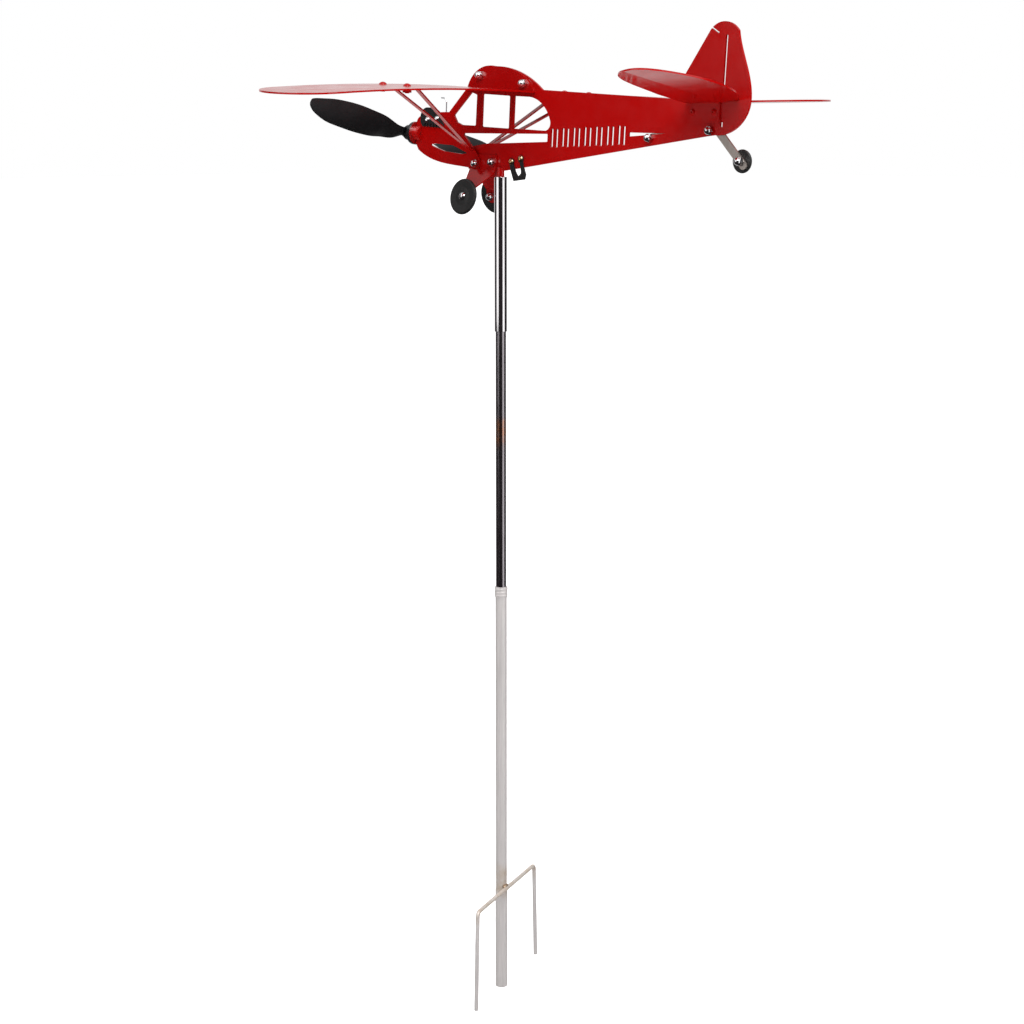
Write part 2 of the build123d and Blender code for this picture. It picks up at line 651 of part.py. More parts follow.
def make_axle_bolts():
    """Each main wheel turns on a button-head bolt put in from outside."""
    length = WHEEL_WIDTH + 2 * GAP + SHEET + NUT_DEPTH
    bolt = Pos(0, 0, WHEEL_WIDTH / 2 + GAP) * button_screw(M4, length)
    return [wheel_place(side) * bolt for side in (LEFT, RIGHT)]


def make_axle_nuts():
    """Cap nuts on the inner face of each leg."""
    nut = Rot(180, 0, 0) * acorn_nut(NUT_M4, M4[1], NUT_DEPTH)
    depth = WHEEL_WIDTH / 2 + GAP + SHEET
    return [wheel_place(side) * Pos(0, 0, -depth) * nut for side in (LEFT, RIGHT)]


# ---- tail gear ----
STRIP_WIDTH = 7.0
TAIL_STRIP = 1.8


def make_tail_strut():
    """A steel strip on the starboard side: along the belly, then down and back to the tail wheel."""
    front, rear = TAIL_BOLTS
    knee = (252.5, 51.5)
    end = (TAIL_AXLE[0] + 3.2, TAIL_AXLE[1] - 3.2)
    strip = Sketch()
    for a, b in ((front, rear), (rear, knee), (knee, end)):
        slope = math.degrees(math.atan2(b[1] - a[1], b[0] - a[0]))
        run = SlotCenterToCenter(math.dist(a, b), STRIP_WIDTH, rotation=slope)
        strip += Pos((a[0] + b[0]) / 2, (a[1] + b[1]) / 2) * run
    strut = layer(strip, RIGHT, HALF_PLATE, HALF_PLATE + TAIL_STRIP)
    strut = drilled(strut, TAIL_BOLTS, M4[0])
    return one_body(drilled(strut, [TAIL_AXLE], M4[0]))


TAIL_WHEEL_Y = HALF_PLATE + TAIL_STRIP + GAP + TAIL_WHEEL_WIDTH / 2


def make_tail_wheel():
    wheel = wheel_body(TAIL_WHEEL_R, TAIL_WHEEL_WIDTH, M4[1] + RUNNING)
    return one_body(across(TAIL_AXLE, TAIL_WHEEL_Y, RIGHT) * wheel)


def make_tail_axle_bolt():
    head_seat = TAIL_WHEEL_Y + TAIL_WHEEL_WIDTH / 2 + GAP
    length = head_seat - HALF_PLATE + NUT_DEPTH
    return across(TAIL_AXLE, head_seat, RIGHT) * button_screw(M4, length)


def make_tail_axle_nut():
    return across(TAIL_AXLE, HALF_PLATE, LEFT) * acorn_nut(NUT_M4, M4[1], NUT_DEPTH)


# ---- boarding step ----
STEP_LUG_R = 3.2


def make_step():
    """A stirrup under the cabin on the port side: a flat U that hangs below the belly."""
    body = outline((13.4, 8.7), (15, 1.4), (19.6, -8.4), (33.4, -6), (34.6, -1.4), (31, 6), (29.4, 12.2),
                   (25.2, 12.2), (28, 4.6), (28.8, -0.6), (25, -4.2), (22, -0.6), (18.8, 5), (17.6, 8.7))
    for x, z in STEP_SCREWS:
        body += Pos(x, z) * Circle(STEP_LUG_R)
    return one_body(drilled(layer(body, LEFT, HALF_PLATE, SKIN), STEP_SCREWS, M3[0]))


# ---- engine plates, gauge wire ----
def engine_outline():
    """A rounded cylinder-head silhouette with cooling fins cut into its lower edge."""
    face = make_face([
        ThreePointArc((-109, 42.5), (-106, 49), (-99.5, 51.6)),
        ThreePointArc((-99.5, 51.6), (-90, 49.8), (-81.5, 42.5)),
        Line((-81.5, 42.5), (-76.5, 36)),
        Line((-76.5, 36), (-78.5, 33.6)),
        Line((-78.5, 33.6), (-105.5, 33.6)),
        ThreePointArc((-105.5, 33.6), (-108.5, 37.5), (-109, 42.5)),
    ])
    for fin in range(6):
        face -= Pos(-102.3 + fin * 4.0, 34) * Rectangle(1.7, 5.6)
    return face


def make_engine_plate(side):
    return one_body(drilled(layer(engine_outline(), side, HALF_PLATE, SKIN), ENGINE_SCREWS, M3[0]))


GAUGE_WIRE_R = 0.55
GAUGE_X = -76.0
GAUGE_FOOT = 46.0


def make_fuel_gauge_wire():
    """A bent wire that stands in a hole in the cowl's top edge."""
    foot = (GAUGE_X, 0, GAUGE_FOOT - 4)
    points = [foot, (GAUGE_X, 0, 58), (GAUGE_X - 2.6, 0, 61.4), (GAUGE_X - 7.2, 0, 61.4)]
    path = FilletPolyline(*points, radius=1.6)
    return one_body(sweep(Plane(origin=path @ 0, z_dir=path % 0) * Circle(GAUGE_WIRE_R), path=path))


# ---- nose, propeller ----
BOSS_R = 6.5
BOSS_REAR = -109.0
NOSE_WASHER_R = 10.2
NOSE_WASHER_REAR = -116.2
COLLAR_R = 10.8
COLLAR_REAR = -117.0
COLLAR_FRONT = -119.6
AXLE_FRONT = -136.4
NOSE_AXIS = Plane(origin=(0, 0, PROP_Z), x_dir=(0, 1, 0), z_dir=(-1, 0, 0))   # +Z points forward


def on_nose(shape):
    """Puts a shape built on the Z axis (forward positive) onto the propeller's axis."""
    return NOSE_AXIS * shape


def nose_slot():
    """A cutter as thick as the fuselage plate, up to the front of its nose."""
    return Pos(0, 0, -NOSE_FRONT - 10) * Box(PLATE, 40, 20)


def make_nose_boss():
    """A turned collar with a boss slotted onto the nose's edge; the propeller's axle screws into it."""
    boss = tube(BOSS_R, SPINDLE_R, -BOSS_REAR, -COLLAR_REAR) - nose_slot()
    boss += tube(COLLAR_R, SPINDLE_R, -COLLAR_REAR, -COLLAR_FRONT)
    return one_body(on_nose(boss))


def make_nose_washer():
    """A wide bright washer on the boss, pressed against the back of the collar."""
    return on_nose(tube(NOSE_WASHER_R, BOSS_R, -NOSE_WASHER_REAR, -COLLAR_REAR))


def make_propeller_axle():
    """A steel pin from the boss to the front nut, slotted at its back over the nose's edge."""
    rod = Pos(0, 0, (-BOSS_REAR - AXLE_FRONT) / 2) * Cylinder(SPINDLE_R, BOSS_REAR - AXLE_FRONT)
    return one_body(on_nose(rod - nose_slot()))


HUB_REAR = -PROP_X - HUB_LENGTH / 2
HUB_FRONT = -PROP_X + HUB_LENGTH / 2


WASHER_GAP = 0.15
FRONT_WASHER_REAR = HUB_FRONT + BEARING_FLANGE + WASHER_GAP
FRONT_WASHER_FRONT = FRONT_WASHER_REAR + 0.85


def make_rear_washer():
    return on_nose(tube(3.9, SPINDLE_R, -COLLAR_FRONT, HUB_REAR - BEARING_FLANGE - WASHER_GAP))


def make_front_washer():
    return on_nose(tube(4.6, SPINDLE_R, FRONT_WASHER_REAR, FRONT_WASHER_FRONT))


def make_propeller_nut():
    nut = acorn_nut((4.62, 3.6, 3.9), SPINDLE_R, -AXLE_FRONT - FRONT_WASHER_FRONT)
    return on_nose(Pos(0, 0, FRONT_WASHER_FRONT) * nut)


def make_propeller_bearing(end):
    """A flanged bearing in one end of the hub: its flange seats on the hub's face."""
    if end == "rear":
        top = HUB_REAR - BEARING_FLANGE + PROP_BEARING_WIDTH
        flange = tube(BEARING_FLANGE_R, PROP_BEARING_R, HUB_REAR - BEARING_FLANGE, HUB_REAR)
    else:
        top = HUB_FRONT + BEARING_FLANGE
        flange = tube(BEARING_FLANGE_R, PROP_BEARING_R, HUB_FRONT, top)
    bearing = make_bearing(PROP_BEARING_R, SPINDLE_R, PROP_BEARING_WIDTH, top)
    return on_nose(Compound([*bearing.solids(), flange.solid()]))


def blade_section(radius, chord, offset):
    """A thin lens across the blade at one radius, turned to the pitch and moved along its chord."""
    pitch = min(math.degrees(math.atan2(PROP_PITCH, 2 * math.pi * radius)), STEEPEST_PITCH)
    thick = 0.9 + chord * 0.075
    start = (offset - chord / 2, 0)
    end = (offset + chord / 2, 0)
    lens = make_face([
        ThreePointArc(start, (offset, thick), end),
        ThreePointArc(end, (offset, -thick * 0.35), start),
    ])
    return Plane(origin=(0, radius, 0), x_dir=(1, 0, 0), z_dir=(0, -1, 0)) * Rot(0, 0, pitch) * lens


# (radius, chord, how far the chord's middle is from the blade's axis)
BLADE_STATIONS = [
    (7, 10.5, 0.5), (13, 14.5, 3.2), (20, 18.0, 4.3), (28, 21.3, 3.8), (38, 24.3, 3.0), (52, 25.8, 2.6),
    (70, 26.5, 2.0), (88, 25.0, 1.8), (104, 21.8, 1.9), (117, 15.5, 1.4), (124, 10.5, 0.5),
    (PROP_R, 6.5, -0.3),
]


def make_propeller():
    """A moulded hub with two twisted blades; bearings sit in pockets at both ends of the hub."""
    blade = loft([blade_section(*station) for station in BLADE_STATIONS])
    hub = Cylinder(HUB_R, HUB_LENGTH)
    hub = fillet(hub.edges().filter_by(GeomType.CIRCLE), 1.2)
    propeller = hub + blade + Rot(0, 0, 180) * blade
    depth = PROP_BEARING_WIDTH - BEARING_FLANGE
    pocket = Cylinder(PROP_BEARING_R, depth)
    offset_z = (HUB_LENGTH - depth) / 2
    propeller -= Pos(0, 0, offset_z) * pocket + Pos(0, 0, -offset_z) * pocket
    propeller -= Cylinder(PROP_BEARING_R - 1.5, HUB_LENGTH * 2)
    turned = Rot(0, 0, -90 + PROP_TURN) * propeller
    return one_body(on_nose(Pos(0, 0, -PROP_X) * turned))


# ---- fastener groups ----
GEAR_STACK = SKIN + SHEET            # leg flange and strut foot


def fastener_groups():
    gear_port = [GEAR_STACK, SKIN]
    gear_bolts = []
    gear_nuts = []
    for place, stack in zip(GEAR_BOLTS, gear_port):
        gear_bolts += bolt_set([place], M4, stack, stack, NUT_DEPTH)
        gear_nuts += nut_set([place], NUT_M4, M4[1], stack, NUT_DEPTH)
    tail_stack = HALF_PLATE + TAIL_STRIP
    small_screw = button_screw(M3, 2 * SKIN + NUT_DEPTH_M3)
    small_nut = acorn_nut(NUT_M3, M3[1], NUT_DEPTH_M3)
    return {
        "wing_bolts": bolt_set(WING_BOLTS, M4, SKIN, SKIN, NUT_DEPTH),
        "wing_nuts": nut_set(WING_BOLTS, NUT_M4, M4[1], SKIN, NUT_DEPTH),
        "gear_bolts": gear_bolts,
        "gear_nuts": gear_nuts,
        "tail_strut_bolts": bolt_set(TAIL_BOLTS, M4, HALF_PLATE, tail_stack, NUT_DEPTH),
        "tail_strut_nuts": nut_set(TAIL_BOLTS, NUT_M4, M4[1], HALF_PLATE, NUT_DEPTH),
        "stabilizer_screws": [across(p, -SKIN, LEFT) * small_screw for p in STABILIZER_SCREWS],
        "stabilizer_nuts": [across(p, SKIN, RIGHT) * small_nut for p in STABILIZER_SCREWS],
        "engine_screws": [across(p, -SKIN, LEFT) * small_screw for p in ENGINE_SCREWS],
        "engine_nuts": [across(p, SKIN, RIGHT) * small_nut for p in ENGINE_SCREWS],
        "step_screws": [across(p, -SKIN, LEFT) * button_screw(M3, SHEET + PLATE) for p in STEP_SCREWS],
        "axle_bolts": make_axle_bolts(),
        "axle_nuts": make_axle_nuts(),
        "strut_screws": make_strut_screws(),
        "strut_nuts": make_strut_nuts(),
    }


def pole_nodes():
    return {
        "ground_spike": make_ground_spike(),
        "lower_pole": make_lower_pole(),
        "ground_fork": make_ground_fork(),
        "fork_weld": make_fork_weld(),
        "pole_coupler": make_pole_coupler(),
        "middle_pole": make_middle_pole(),
        "top_sleeve": make_top_sleeve(),
        "bearing_seat": make_bearing_seat(),
        "lower_swivel_bearing": make_bearing(MIDDLE_R, SPINDLE_R, BEARING_WIDTH, LOWER_BEARING_TOP),
        "bearing_spacer": make_bearing_spacer(),
        "upper_swivel_bearing": make_bearing(MIDDLE_R, SPINDLE_R, BEARING_WIDTH, UPPER_BEARING_TOP),
        "sleeve_cap": make_sleeve_cap(),
        "swivel_stub": make_swivel_stub(),
        "thrust_washer": make_thrust_washer(),
        "swivel_spindle": make_swivel_spindle(),
        "spindle_clip": make_spindle_clip(),
    }


def plane_nodes():
    """Every node that is built in the plane frame."""
    nodes = {
        "fuselage_plate": make_fuselage_plate(),
        "left_wing": make_wing(LEFT),
        "right_wing": make_wing(RIGHT),
        "left_strut": make_strut(LEFT),
        "right_strut": make_strut(RIGHT),
        "left_stabilizer": make_stabilizer(LEFT, 10.5, 4.7),
        "right_stabilizer": make_stabilizer(RIGHT, 0.8, 0.0),
        "left_gear_leg": make_gear_leg(LEFT),
        "right_gear_leg": make_gear_leg(RIGHT),
        "left_wheel": make_wheel(LEFT),
        "right_wheel": make_wheel(RIGHT),
        "tail_strut": make_tail_strut(),
        "tail_wheel": make_tail_wheel(),
        "tail_axle_bolt": make_tail_axle_bolt(),
        "tail_axle_nut": make_tail_axle_nut(),
        "boarding_step": make_step(),
        "left_engine_plate": make_engine_plate(LEFT),
        "right_engine_plate": make_engine_plate(RIGHT),
        "fuel_gauge_wire": make_fuel_gauge_wire(),
        "nose_boss": make_nose_boss(),
        "nose_washer": make_nose_washer(),
        "propeller_axle": make_propeller_axle(),
        "rear_washer": make_rear_washer(),
        "front_washer": make_front_washer(),
        "propeller_nut": make_propeller_nut(),
        "propeller": make_propeller(),
        "rear_propeller_bearing": make_propeller_bearing("rear"),
        "front_propeller_bearing": make_propeller_bearing("front"),
    }
    for name, pieces in fastener_groups().items():
        nodes[name] = Compound([piece.solid() for piece in pieces])
    return {name: in_flight(shape) for name, shape in nodes.items()}


def main():
    os.makedirs("parts", exist_ok=True)
    nodes = {**pole_nodes(), **plane_nodes()}
    for name, shape in nodes.items():
        export_step(shape, f"parts/{name}.step")
    nose = in_flight(Pos(PROP_X, 0, PROP_Z)).position
    print("propeller centre", nose)
    for side in (LEFT, RIGHT):
        wheel = in_flight(wheel_place(side).location)
        print("wheel centre", wheel.position, "axis", Plane(wheel).z_dir)
    tail = in_flight(across(TAIL_AXLE, TAIL_WHEEL_Y, RIGHT))
    print("tail wheel centre", tail.position)


main()
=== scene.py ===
import json
import math

import bpy
from mathutils import Euler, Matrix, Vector


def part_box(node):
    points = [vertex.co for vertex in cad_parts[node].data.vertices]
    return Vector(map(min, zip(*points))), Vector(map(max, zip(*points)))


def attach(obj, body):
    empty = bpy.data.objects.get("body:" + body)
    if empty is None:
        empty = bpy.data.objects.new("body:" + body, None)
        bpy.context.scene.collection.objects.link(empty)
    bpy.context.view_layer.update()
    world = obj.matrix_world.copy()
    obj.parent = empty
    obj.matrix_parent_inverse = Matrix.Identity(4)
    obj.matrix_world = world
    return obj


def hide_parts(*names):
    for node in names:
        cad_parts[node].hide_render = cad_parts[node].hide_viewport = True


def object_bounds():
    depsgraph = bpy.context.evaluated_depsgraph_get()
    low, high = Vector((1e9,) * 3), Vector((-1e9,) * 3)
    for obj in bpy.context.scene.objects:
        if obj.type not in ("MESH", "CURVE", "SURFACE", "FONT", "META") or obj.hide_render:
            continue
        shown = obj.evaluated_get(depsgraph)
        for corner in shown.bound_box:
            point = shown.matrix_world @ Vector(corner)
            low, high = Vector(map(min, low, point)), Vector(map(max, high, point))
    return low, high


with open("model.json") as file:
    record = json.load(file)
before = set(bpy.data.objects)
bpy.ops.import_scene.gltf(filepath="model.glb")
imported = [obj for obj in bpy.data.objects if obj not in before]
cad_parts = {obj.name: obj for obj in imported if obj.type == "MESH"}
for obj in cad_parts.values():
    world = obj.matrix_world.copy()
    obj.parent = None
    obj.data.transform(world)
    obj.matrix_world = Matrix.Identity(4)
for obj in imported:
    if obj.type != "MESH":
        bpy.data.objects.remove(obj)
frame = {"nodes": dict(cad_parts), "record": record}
cad_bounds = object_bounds()
nodes = frame["nodes"]
scene = bpy.context.scene


# ---------- node helpers ----------

class Graph:
    """A node tree with short calls to add and join nodes."""

    def __init__(self, tree):
        self.tree = tree

    def add(self, kind, inputs=None, **settings):
        node = self.tree.nodes.new(kind)
        for name, value in settings.items():
            setattr(node, name, value)
        for name, value in (inputs or {}).items():
            self.feed(node.inputs[name], value)
        return node

    def feed(self, socket, value):
        if isinstance(value, bpy.types.NodeSocket):
            self.tree.links.new(value, socket)
        else:
            socket.default_value = value

    def place(self):
        """Object coordinates, which for a CAD node are the shared frame in metres."""
        return self.add("ShaderNodeTexCoord").outputs["Object"]

    def stretched(self, scale=(1, 1, 1), turn=(0, 0, 0)):
        inputs = {"Vector": self.place(), "Scale": scale, "Rotation": turn}
        return self.add("ShaderNodeMapping", inputs).outputs[0]

    def noise(self, scale, detail=3.0, rough=0.55, vector=None):
        inputs = {"Vector": vector or self.place(), "Scale": scale, "Detail": detail, "Roughness": rough}
        return self.add("ShaderNodeTexNoise", inputs).outputs["Fac"]

    def spread(self, value, low, high, to_low=0.0, to_high=1.0):
        """Stretches the range low..high of a value to another range, clamped."""
        inputs = {"Value": value, "From Min": low, "From Max": high, "To Min": to_low, "To Max": to_high}
        return self.add("ShaderNodeMapRange", inputs).outputs["Result"]

    def maths(self, operation, a, b):
        node = self.add("ShaderNodeMath", operation=operation)
        self.feed(node.inputs[0], a)
        self.feed(node.inputs[1], b)
        return node.outputs[0]

    def mean(self, a, b, share):
        """The weighted mean of two values, with the given share of the first."""
        first = self.maths("MULTIPLY", a, share)
        second = self.maths("MULTIPLY", b, 1.0 - share)
        return self.maths("ADD", first, second)

    def blend(self, amount, a, b):
        """A colour between a and b."""
        node = self.add("ShaderNodeMix", data_type="RGBA")
        self.feed(node.inputs[0], amount)
        self.feed(node.inputs[6], a)
        self.feed(node.inputs[7], b)
        return node.outputs[2]

    def bump(self, height, strength, distance):
        inputs = {"Height": height, "Strength": strength, "Distance": distance}
        return self.add("ShaderNodeBump", inputs).outputs["Normal"]

    def part(self, axis):
        """One coordinate of the frame: 0 for X, 1 for Y, 2 for Z."""
        return self.add("ShaderNodeSeparateXYZ", {"Vector": self.place()}).outputs[axis]


def material(name, **values):
    """A material, its graph and its shader's inputs. The values are constants on the shader's own sockets."""
    made = bpy.data.materials.new(name)
    made.use_nodes = True
    graph = Graph(made.node_tree)
    shader = made.node_tree.nodes["Principled BSDF"]
    for socket, value in values.items():
        shader.inputs[socket.replace("_", " ")].default_value = value
    return made, graph, shader.inputs


def rgb(red, green, blue):
    return (red, green, blue, 1.0)


# ---------- materials ----------

# Depths of the surface textures, in metres
PEEL_DEPTH = 0.00012
DRAW_LINE_DEPTH = 0.00004
SCRATCH_DEPTH = 0.00003
GRAIN_DEPTH = 0.00008

HEAT_WANDER = 0.012        # how far the ends of a heat mark wander up and down
COLLAR_BACK = -0.1146      # X of the back of the black collar on the nose
COLLAR_EDGE = 0.0001       # half the width of the step between the two colours


def powder_coat(name, deep, bright, roughness, peel):
    """Baked enamel over sheet steel: a slight mottle of colour and an orange-peel skin."""
    made, g, out = material(name, IOR=1.39, Coat_Weight=0.15, Coat_Roughness=0.08, Coat_IOR=1.45)
    cloud = g.spread(g.noise(9.0, 2.0), 0.30, 0.70)
    speck = g.spread(g.noise(1500.0, 2.0), 0.40, 0.60)
    colour = g.blend(g.mean(cloud, speck, 0.5), deep, bright)
    g.feed(out["Base Color"], colour)
    g.feed(out["Roughness"], g.spread(g.noise(60.0, 5.0), 0.3, 0.7, roughness - 0.05, roughness + 0.06))
    g.feed(out["Normal"], g.bump(g.noise(700.0, 2.0, 0.5), peel, PEEL_DEPTH))
    return made, g, out, colour


def collar_enamel(black, red_behind):
    """Black enamel in front of the collar's back, and red on the boss behind it."""
    made, g, out, colour = black
    behind = g.spread(g.part(0), COLLAR_BACK - COLLAR_EDGE, COLLAR_BACK + COLLAR_EDGE)
    g.feed(out["Base Color"], g.blend(behind, colour, red_behind))
    return made


def tube_steel(name, dark, light, roughness, line_share, line_strength, metallic=1.0):
    """Drawn steel tube: fine lengthwise draw lines and a cloudy tone."""
    made, g, out = material(name, Metallic=metallic, IOR=1.5)
    lines = g.noise(1400.0, 3.0, 0.6, g.stretched((1, 1, 0.02)))
    cloud = g.noise(18.0, 4.0, 0.6, g.stretched((1, 1, 0.35)))
    colour = g.blend(g.spread(g.mean(lines, cloud, line_share), 0.35, 0.65), dark, light)
    g.feed(out["Base Color"], colour)
    g.feed(out["Roughness"], g.spread(lines, 0.3, 0.7, roughness * 0.8, roughness * 1.25))
    g.feed(out["Normal"], g.bump(lines, line_strength, DRAW_LINE_DEPTH))
    return made, g, out, colour


def heated(tube, low, high, tint, strength):
    """A tube with straw-coloured heat marks between two heights, uneven and soft at both ends."""
    made, g, out, colour = tube
    wander = g.maths("MULTIPLY", g.maths("SUBTRACT", g.noise(90.0, 3.0), 0.5), HEAT_WANDER)
    z = g.maths("ADD", g.part(2), wander)
    soft = (high - low) * 0.3
    rise = g.spread(z, low, low + soft)
    fall = g.spread(z, high - soft, high, 1.0, 0.0)
    patch = g.spread(g.noise(140.0, 4.0), 0.38, 0.62, 0.35, 1.0)
    amount = g.maths("MULTIPLY", g.maths("MULTIPLY", rise, fall), g.maths("MULTIPLY", patch, strength))
    g.feed(out["Base Color"], g.blend(amount, colour, tint))
    return made


def bright_metal(name, dark, light, roughness):
    """Plated or ground small hardware: polishing haze and faint scratches."""
    made, g, out = material(name, Metallic=1.0)
    haze = g.noise(420.0, 4.0, 0.6)
    scratch = g.noise(2200.0, 2.0, 0.5, g.stretched((1, 0.06, 1), (0.4, 0.2, 0.7)))
    g.feed(out["Base Color"], g.blend(g.spread(haze, 0.3, 0.7), dark, light))
    g.feed(out["Roughness"], g.spread(haze, 0.3, 0.7, roughness * 0.7, roughness * 1.4))
    g.feed(out["Normal"], g.bump(scratch, 0.12, SCRATCH_DEPTH))
    return made


def moulded(name, dark, light, roughness, grain):
    """Injection-moulded plastic with a fine spark-eroded grain."""
    made, g, out = material(name, IOR=1.48)
    pebble = g.noise(2600.0, 2.0, 0.5)
    g.feed(out["Base Color"], g.blend(g.spread(g.noise(40.0, 4.0), 0.35, 0.65), dark, light))
    g.feed(out["Roughness"], g.spread(pebble, 0.35, 0.65, roughness - 0.05, roughness + 0.08))
    g.feed(out["Normal"], g.bump(pebble, grain, GRAIN_DEPTH))
    return made


RED_DEEP = rgb(0.345, 0.0011, 0.0010)
RED_BRIGHT = rgb(0.405, 0.0019, 0.0016)
BLACK_DEEP = rgb(0.010, 0.010, 0.011)
BLACK_BRIGHT = rgb(0.018, 0.017, 0.018)
ORANGE_HEAT = rgb(0.80, 0.30, 0.10)
STRAW_HEAT = rgb(0.50, 0.36, 0.22)

red = powder_coat("red_enamel", RED_DEEP, RED_BRIGHT, roughness=0.17, peel=0.08)[0]
black_coat = powder_coat("black_enamel", BLACK_DEEP, BLACK_BRIGHT, roughness=0.38, peel=0.15)[0]
collar_black = powder_coat("collar_enamel", BLACK_DEEP, BLACK_BRIGHT, roughness=0.30, peel=0.12)
collar_coat = collar_enamel(collar_black, RED_BRIGHT)

mirror_tube = tube_steel("mirror_tube", rgb(0.76, 0.74, 0.75), rgb(0.90, 0.88, 0.89),
                         roughness=0.07, line_share=0.4, line_strength=0.10)[0]
dark_steel = tube_steel("dark_tube", rgb(0.30, 0.27, 0.29), rgb(0.42, 0.39, 0.41),
                        roughness=0.20, line_share=0.5, line_strength=0.15)
dark_tube = heated(dark_steel, 0.440, 0.472, ORANGE_HEAT, 0.75)
satin_steel = tube_steel("satin_tube", rgb(0.62, 0.59, 0.58), rgb(0.80, 0.76, 0.75),
                         roughness=0.40, line_share=0.5, line_strength=0.25, metallic=0.35)
satin_tube = heated(satin_steel, -0.012, 0.030, STRAW_HEAT, 0.55)
strip = tube_steel("brushed_strip", rgb(0.42, 0.37, 0.33), rgb(0.56, 0.50, 0.46),
                   roughness=0.34, line_share=0.5, line_strength=0.25, metallic=0.8)[0]
bead = tube_steel("weld_bead", rgb(0.22, 0.15, 0.10), rgb(0.55, 0.42, 0.30),
                  roughness=0.35, line_share=0.3, line_strength=0.2)[0]

plated = bright_metal("plated_steel", rgb(0.66, 0.66, 0.67), rgb(0.86, 0.86, 0.87), roughness=0.14)
ground = bright_metal("ground_steel", rgb(0.60, 0.60, 0.62), rgb(0.78, 0.78, 0.80), roughness=0.18)
brass = bright_metal("brass_plate", rgb(0.55, 0.38, 0.20), rgb(0.78, 0.60, 0.36), roughness=0.22)

blade = moulded("propeller_plastic", rgb(0.0060, 0.0056, 0.0064), rgb(0.0095, 0.0088, 0.0100),
                roughness=0.34, grain=0.10)
tyre = moulded("wheel_plastic", rgb(0.0085, 0.0085, 0.0085), rgb(0.015, 0.015, 0.0145),
               roughness=0.48, grain=0.20)

slot_material = {
    "red_paint": red,
    "polished_steel": mirror_tube,
    "dark_steel": dark_tube,
    "satin_steel": satin_tube,
    "weld_bead": bead,
    "plated_fasteners": plated,
    "brass_fasteners": brass,
    "moulded_black": blade,
    "wheel_black": tyre,
    "black_paint": black_coat,
    "bearing_steel": ground,
    "strip_steel": strip,
}
for entry in frame["record"]["subparts"]:
    node = nodes[entry["node"]]
    node.data.materials.clear()
    node.data.materials.append(slot_material[entry["material_slot"]])
nodes["nose_boss"].data.materials[0] = collar_coat


# ---------- the weld on the fork ----------

BEAD_LENGTH = 0.0092
BEAD_R = 0.0021
BEAD_RINGS = 60
BEAD_SIDES = 16
BEAD_RIPPLES = 6
RIPPLE_HEIGHT = 0.13                   # as a share of the bead's radius
UNEVENNESS = 0.05                      # the same, for a slow swell along the bead
END_R = 0.05                           # the same, for the bead's blunt ends
BEAD_SHIFT = Vector((0.0006, 0, 0.0007))
CROSSBAR_TURN = math.radians(21.5)     # the crossbar's turn from the Y axis, in plan


def make_bead():
    """A stack of weld ripples that lies along the crossbar where it crosses the pole."""
    low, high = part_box("fork_weld")
    middle = (Vector(low) + Vector(high)) / 2 - BEAD_SHIFT
    along = Vector((math.sin(CROSSBAR_TURN), -math.cos(CROSSBAR_TURN), 0))
    across = Vector((0, 0, 1)).cross(along)
    points = []
    for ring in range(BEAD_RINGS + 1):
        share = ring / BEAD_RINGS
        swell = max(0.0, 1 - abs(2 * share - 1) ** 3) ** 0.5
        ripple = 1 + RIPPLE_HEIGHT * abs(math.sin(math.pi * BEAD_RIPPLES * share))
        ripple -= UNEVENNESS * math.sin(7 * share)
        radius = BEAD_R * max(swell, END_R) * ripple
        for side in range(BEAD_SIDES):
            turn = 2 * math.pi * side / BEAD_SIDES
            spot = middle + along * (share - 0.5) * BEAD_LENGTH
            points.append(spot + across * radius * math.cos(turn) + Vector((0, 0, radius * math.sin(turn))))
    faces = []
    for ring in range(BEAD_RINGS):
        for side in range(BEAD_SIDES):
            a = ring * BEAD_SIDES + side
            b = ring * BEAD_SIDES + (side + 1) % BEAD_SIDES
            faces.append((a, b, b + BEAD_SIDES, a + BEAD_SIDES))
    faces.append(tuple(reversed(range(BEAD_SIDES))))
    faces.append(tuple(range(BEAD_RINGS * BEAD_SIDES, (BEAD_RINGS + 1) * BEAD_SIDES)))
    mesh = bpy.data.meshes.new("weld_ripples")
    mesh.from_pydata(points, [], faces)
    mesh.update()
    for face in mesh.polygons:
        face.use_smooth = True
    piece = bpy.data.objects.new("weld_ripples", mesh)
    scene.collection.objects.link(piece)
    mesh.materials.append(bead)
    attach(piece, "pole")
    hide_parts("fork_weld")


make_bead()


# ---------- floor, light and camera ----------

FLOOR_Z = cad_bounds[0].z
FLOOR_SIZE = 60.0
FLOOR_GLOW = 0.8                       # seen by the camera only: makes the floor as pale as the background
CAMERA_AT = Vector((1.3318, -1.3170, 0.736))
CAMERA_TURN = (math.radians(79.2), 0.0, math.radians(45.0))
CAMERA_LENS = 70.3125
ROOM_PALE = rgb(0.80, 0.80, 0.80)
ROOM_DARK = rgb(0.022, 0.018, 0.020)
CEILING = rgb(0.70, 0.70, 0.70)

bpy.ops.mesh.primitive_plane_add(size=FLOOR_SIZE, location=(0, 0, FLOOR_Z))
floor = bpy.context.object
floor.name = "floor"
floor.visible_glossy = False
paper, g, out = material("floor_paper", Roughness=0.9, Emission_Color=rgb(1.0, 1.0, 1.0))
seen_floor = g.add("ShaderNodeLightPath").outputs["Is Camera Ray"]
g.feed(out["Emission Strength"], g.maths("MULTIPLY", seen_floor, FLOOR_GLOW))
g.feed(out["Base Color"], g.blend(g.noise(3.0, 4.0), rgb(0.86, 0.86, 0.86), rgb(0.90, 0.90, 0.90)))
floor.data.materials.append(paper)

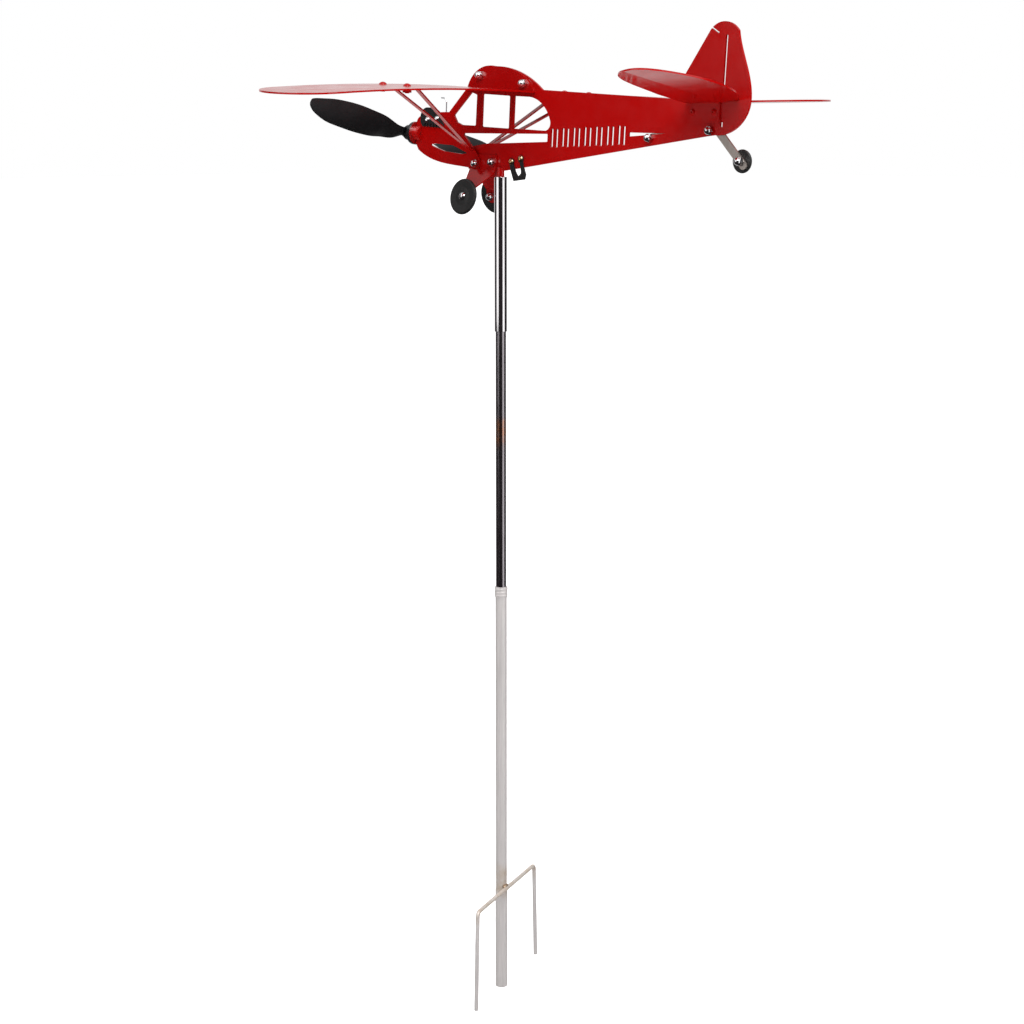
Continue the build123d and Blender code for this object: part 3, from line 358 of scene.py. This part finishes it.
# The room is dark on the camera's side, pale on the far side and above, and white where it is seen directly
world = bpy.data.worlds.new("studio")
scene.world = world
world.use_nodes = True
w = Graph(world.node_tree)
background = world.node_tree.nodes["Background"]
toward = Vector((math.cos(math.radians(-45)), math.sin(math.radians(-45)), 0))
direction = w.add("ShaderNodeTexCoord").outputs["Generated"]
side = w.add("ShaderNodeVectorMath", {0: direction, 1: toward}, operation="DOT_PRODUCT").outputs["Value"]
height = w.add("ShaderNodeSeparateXYZ", {"Vector": direction}).outputs["Z"]
room = w.blend(w.spread(side, -0.85, -0.50), ROOM_PALE, ROOM_DARK)
room = w.blend(w.spread(height, 0.20, 0.55), room, CEILING)
seen_room = w.add("ShaderNodeLightPath").outputs["Is Camera Ray"]
w.feed(background.inputs["Color"], w.blend(seen_room, room, rgb(1.0, 1.0, 1.0)))
background.inputs["Strength"].default_value = 1.0


def softbox(name, azimuth, low, high, width, distance, strength):
    """A tall area light beside the pole, turned to face it. Azimuth is from +X towards +Y."""
    light = bpy.data.lights.new(name, "AREA")
    light.shape = "RECTANGLE"
    light.size = width
    light.size_y = high - low
    light.energy = strength * width * (high - low)
    holder = bpy.data.objects.new(name, light)
    angle = math.radians(azimuth)
    holder.location = (distance * math.cos(angle), distance * math.sin(angle), (low + high) / 2)
    holder.rotation_euler = Euler((math.radians(90), 0, angle + math.radians(90)))
    scene.collection.objects.link(holder)


def overhead(name, place, target, size, energy):
    """A round light above the aeroplane, aimed at a point."""
    light = bpy.data.lights.new(name, "AREA")
    light.shape = "DISK"
    light.size = size
    light.energy = energy
    holder = bpy.data.objects.new(name, light)
    holder.location = place
    holder.rotation_euler = (Vector(target) - Vector(place)).to_track_quat("-Z", "Y").to_euler()
    scene.collection.objects.link(holder)


softbox("softbox_left", azimuth=-104.7, low=0.057, high=6.85, width=3.75, distance=5.0, strength=3.6)
softbox("softbox_right", azimuth=8.3, low=-0.1, high=2.2, width=0.80, distance=1.2, strength=3.6)
overhead("overhead_key", place=(1.1, -0.8, 2.25), target=(0.10, 0.0, 0.76), size=1.8, energy=36.0)

camera = bpy.data.cameras.new("camera")
camera.lens = CAMERA_LENS
camera.sensor_width = 36.0
camera.clip_start = 0.01
camera.clip_end = 200.0
camera_holder = bpy.data.objects.new("camera", camera)
camera_holder.location = CAMERA_AT
camera_holder.rotation_euler = CAMERA_TURN
scene.collection.objects.link(camera_holder)
scene.camera = camera_holder
scene.view_settings.view_transform = "Standard"
